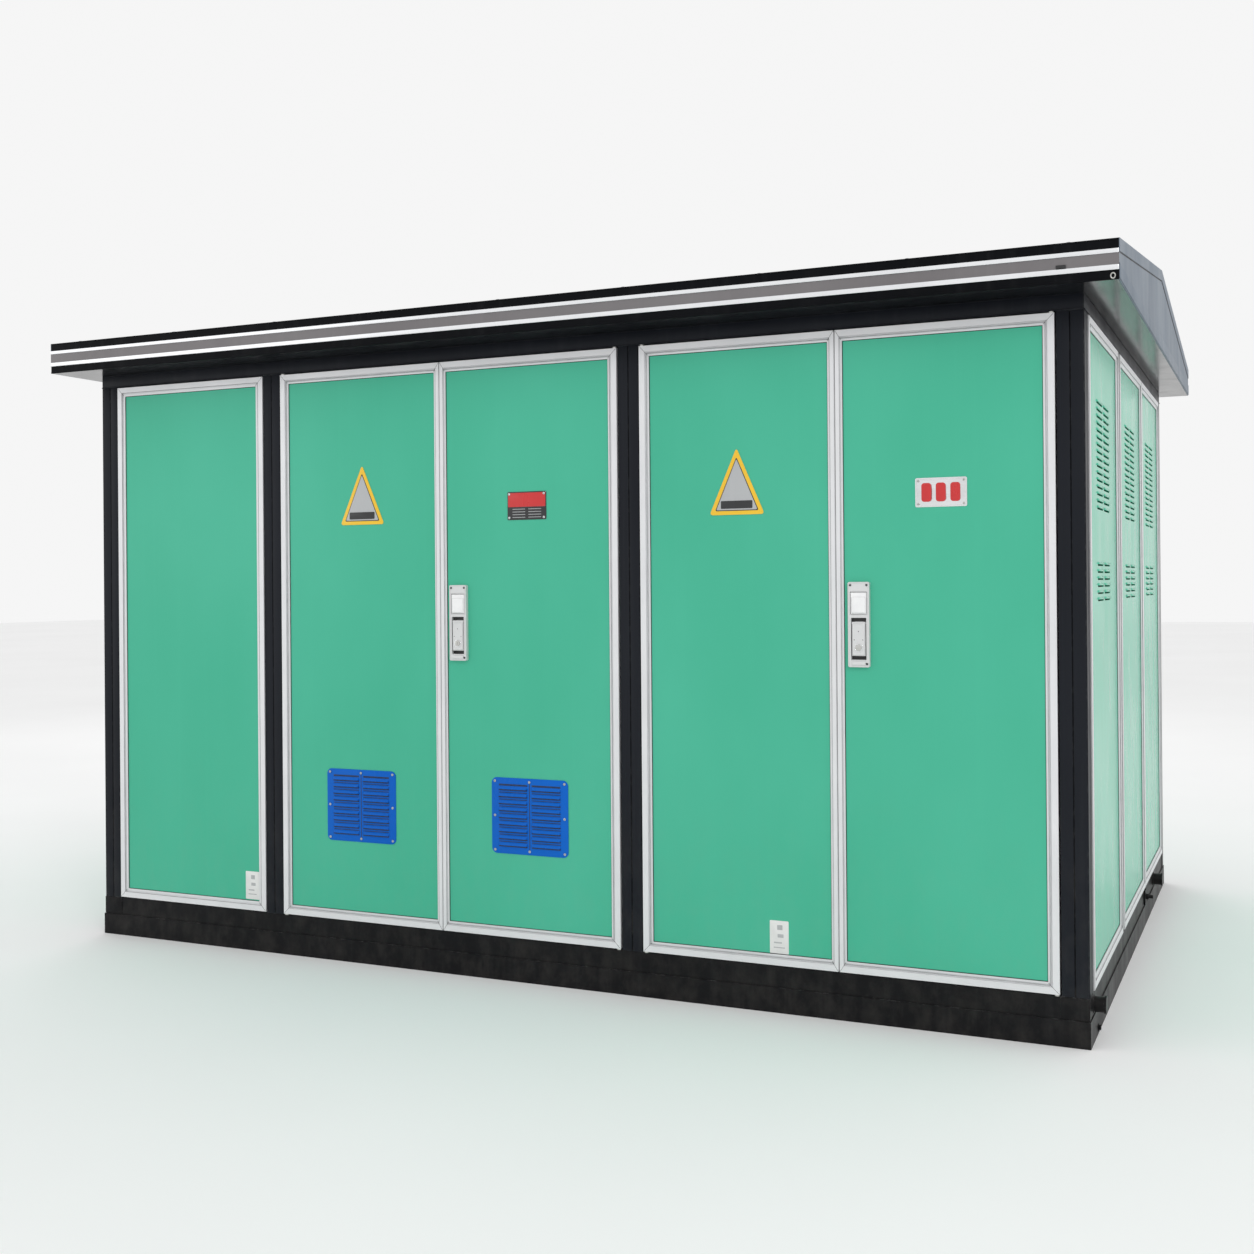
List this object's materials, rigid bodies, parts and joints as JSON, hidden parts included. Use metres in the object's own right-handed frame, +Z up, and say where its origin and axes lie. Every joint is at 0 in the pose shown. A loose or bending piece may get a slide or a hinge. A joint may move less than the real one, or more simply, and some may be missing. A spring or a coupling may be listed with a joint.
{
  "type": "prefabricated transformer kiosk",
  "caption": "Walk-round steel transformer kiosk with a gable roof, green framed door leaves, louvres, flush pull locks, and a transformer between switchgear rooms.",
  "frame": {"origin": "centre of the bottom face of the base, at ground level", "axes": "+Z up, +X along the length to the right, -Y towards the front leaves"},
  "size_m": [3.614, 2.624, 2.271],
  "materials": {
    "dark_paint": "satin near-black paint",
    "galvanised": "galvanised",
    "partition_white": "satin off-white",
    "roof_sheet": "matt dark grey",
    "fascia_black": "satin black paint",
    "band_grey": "satin grey paint",
    "bright_trim": "anodised",
    "gable_sheet": "metallic blue-grey",
    "pin_steel": "zinc plated",
    "leaf_aluminium": "brushed anodised",
    "leaf_green": "gloss sea green",
    "tank_grey": "semi-gloss grey",
    "core_steel": "laminated silicon steel",
    "copper": "copper",
    "porcelain": "brown glaze",
    "cable_sheath": "matt red sheath",
    "cubicle_grey": "textured light grey",
    "breaker_grey": "moulded dark grey",
    "louvre_blue": "gloss blue",
    "lock_grey": "satin silver grey",
    "flap_white": "gloss white",
    "handle_black": "moulded black"
  },
  "bodies": {
    "housing": {"base_channels": "dark_paint", "plinth_rails": "dark_paint", "floor_plates": "galvanised", "corner_posts": "dark_paint", "mullions": "dark_paint", "top_rails": "dark_paint", "partitions": "partition_white", "roof_frame": "galvanised", "roof_sheets": "roof_sheet", "eaves_soffit": "dark_paint", "fascia_boards": "fascia_black", "fascia_band": "band_grey", "fascia_trims": "bright_trim", "gable_ends": "gable_sheet", "lifting_trunnions": "dark_paint", "earth_terminals": "pin_steel", "fixed_frames": "leaf_aluminium", "fixed_panels": "leaf_green", "pivot_pins": "pin_steel", "transformer_tank": "tank_grey", "cooling_fins": "tank_grey", "tank_cover": "tank_grey", "transformer_core": "core_steel", "transformer_windings": "copper", "hv_bushings": "porcelain", "lv_bushings": "porcelain", "hv_conductors": "cable_sheath", "lv_busbars": "copper", "hv_switchgear": "cubicle_grey", "lv_cubicle": "cubicle_grey", "lv_breakers": "breaker_grey"},
    "transformer_leaf_left": {"transformer_leaf_left_frame": "leaf_aluminium", "transformer_leaf_left_panel": "leaf_green", "louvre_plate_left": "louvre_blue"},
    "transformer_leaf_right": {"transformer_leaf_right_frame": "leaf_aluminium", "transformer_leaf_right_panel": "leaf_green", "louvre_plate_right": "louvre_blue", "transformer_lock_body": "lock_grey"},
    "lv_leaf_left": {"lv_leaf_left_frame": "leaf_aluminium", "lv_leaf_left_panel": "leaf_green"},
    "lv_leaf_right": {"lv_leaf_right_frame": "leaf_aluminium", "lv_leaf_right_panel": "leaf_green", "lv_lock_body": "lock_grey"},
    "hv_leaf_rear": {"hv_leaf_rear_frame": "leaf_aluminium", "hv_leaf_rear_panel": "leaf_green"},
    "hv_leaf_front": {"hv_leaf_front_frame": "leaf_aluminium", "hv_leaf_front_panel": "leaf_green", "hv_lock_body": "lock_grey"},
    "transformer_lock_lever": {"transformer_lock_lever": "lock_grey"},
    "transformer_lock_flap": {"transformer_lock_flap": "flap_white"},
    "transformer_lock_bolt": {"transformer_lock_bolt": "pin_steel"},
    "lv_lock_lever": {"lv_lock_lever": "lock_grey"},
    "lv_lock_flap": {"lv_lock_flap": "flap_white"},
    "lv_lock_bolt": {"lv_lock_bolt": "pin_steel"},
    "hv_lock_lever": {"hv_lock_lever": "lock_grey"},
    "hv_lock_flap": {"hv_lock_flap": "flap_white"},
    "hv_lock_bolt": {"hv_lock_bolt": "pin_steel"},
    "hv_switch_handle": {"hv_switch_handle": "handle_black"},
    "lv_main_handle": {"lv_main_handle": "handle_black"},
    "tap_knob": {"tap_knob": "handle_black"}
  },
  "joints": [
    {"name": "transformer_leaf_left_swing", "type": "hinge", "parent": "housing", "child": "transformer_leaf_left", "pos_m": [-0.902, -1.167, 1.045], "axis": [0, 0, -1], "range_deg": [0, 90]},
    {"name": "transformer_leaf_right_swing", "type": "hinge", "parent": "housing", "child": "transformer_leaf_right", "pos_m": [0.332, -1.167, 1.045], "axis": [0, 0, 1], "range_deg": [0, 90]},
    {"name": "lv_leaf_left_swing", "type": "hinge", "parent": "housing", "child": "lv_leaf_left", "pos_m": [0.423, -1.167, 1.045], "axis": [0, 0, -1], "range_deg": [0, 90]},
    {"name": "lv_leaf_right_swing", "type": "hinge", "parent": "housing", "child": "lv_leaf_right", "pos_m": [1.617, -1.167, 1.045], "axis": [0, 0, 1], "range_deg": [0, 90]},
    {"name": "hv_leaf_rear_swing", "type": "hinge", "parent": "housing", "child": "hv_leaf_rear", "pos_m": [-1.697, 1.087, 1.045], "axis": [0, 0, -1], "range_deg": [0, 90]},
    {"name": "hv_leaf_front_swing", "type": "hinge", "parent": "housing", "child": "hv_leaf_front", "pos_m": [-1.697, -0.33033, 1.045], "axis": [0, 0, 1], "range_deg": [0, 90]},
    {"name": "transformer_lock_lever_swing", "type": "hinge", "parent": "transformer_leaf_right", "child": "transformer_lock_lever", "pos_m": [-0.219, -1.1745, 1.124], "axis": [-1, 0, 0], "range_deg": [0, 60]},
    {"name": "transformer_lock_flap_swing", "type": "hinge", "parent": "transformer_leaf_right", "child": "transformer_lock_flap", "pos_m": [-0.219, -1.1745, 1.207], "axis": [-1, 0, 0], "range_deg": [0, 80]},
    {"name": "transformer_lock_bolt_throw", "type": "slide", "parent": "transformer_leaf_right", "child": "transformer_lock_bolt", "axis": [-1, 0, 0], "range_m": [0, 0.018]},
    {"name": "lv_lock_lever_swing", "type": "hinge", "parent": "lv_leaf_right", "child": "lv_lock_lever", "pos_m": [1.086, -1.1745, 1.124], "axis": [-1, 0, 0], "range_deg": [0, 60]},
    {"name": "lv_lock_flap_swing", "type": "hinge", "parent": "lv_leaf_right", "child": "lv_lock_flap", "pos_m": [1.086, -1.1745, 1.207], "axis": [-1, 0, 0], "range_deg": [0, 80]},
    {"name": "lv_lock_bolt_throw", "type": "slide", "parent": "lv_leaf_right", "child": "lv_lock_bolt", "axis": [-1, 0, 0], "range_m": [0, 0.018]},
    {"name": "hv_lock_lever_swing", "type": "hinge", "parent": "hv_leaf_front", "child": "hv_lock_lever", "pos_m": [-1.7045, 0.31233, 1.124], "axis": [0, 1, 0], "range_deg": [0, 60]},
    {"name": "hv_lock_flap_swing", "type": "hinge", "parent": "hv_leaf_front", "child": "hv_lock_flap", "pos_m": [-1.7045, 0.31233, 1.207], "axis": [0, 1, 0], "range_deg": [0, 80]},
    {"name": "hv_lock_bolt_throw", "type": "slide", "parent": "hv_leaf_front", "child": "hv_lock_bolt", "axis": [0, 1, 0], "range_m": [0, 0.018]},
    {"name": "hv_switch_handle_turn", "type": "hinge", "parent": "housing", "child": "hv_switch_handle", "pos_m": [-1.4955, 0, 1.1], "axis": [-1, 0, 0], "range_deg": [0, 90]},
    {"name": "lv_main_handle_turn", "type": "hinge", "parent": "housing", "child": "lv_main_handle", "pos_m": [0.72625, -1.11, 1.3], "axis": [0, -1, 0], "range_deg": [0, 90]},
    {"name": "tap_knob_turn", "type": "hinge", "parent": "housing", "child": "tap_knob", "pos_m": [-0.285, 0.13, 1.045], "axis": [0, 0, 1], "range_deg": [0, 144]}
  ]
}
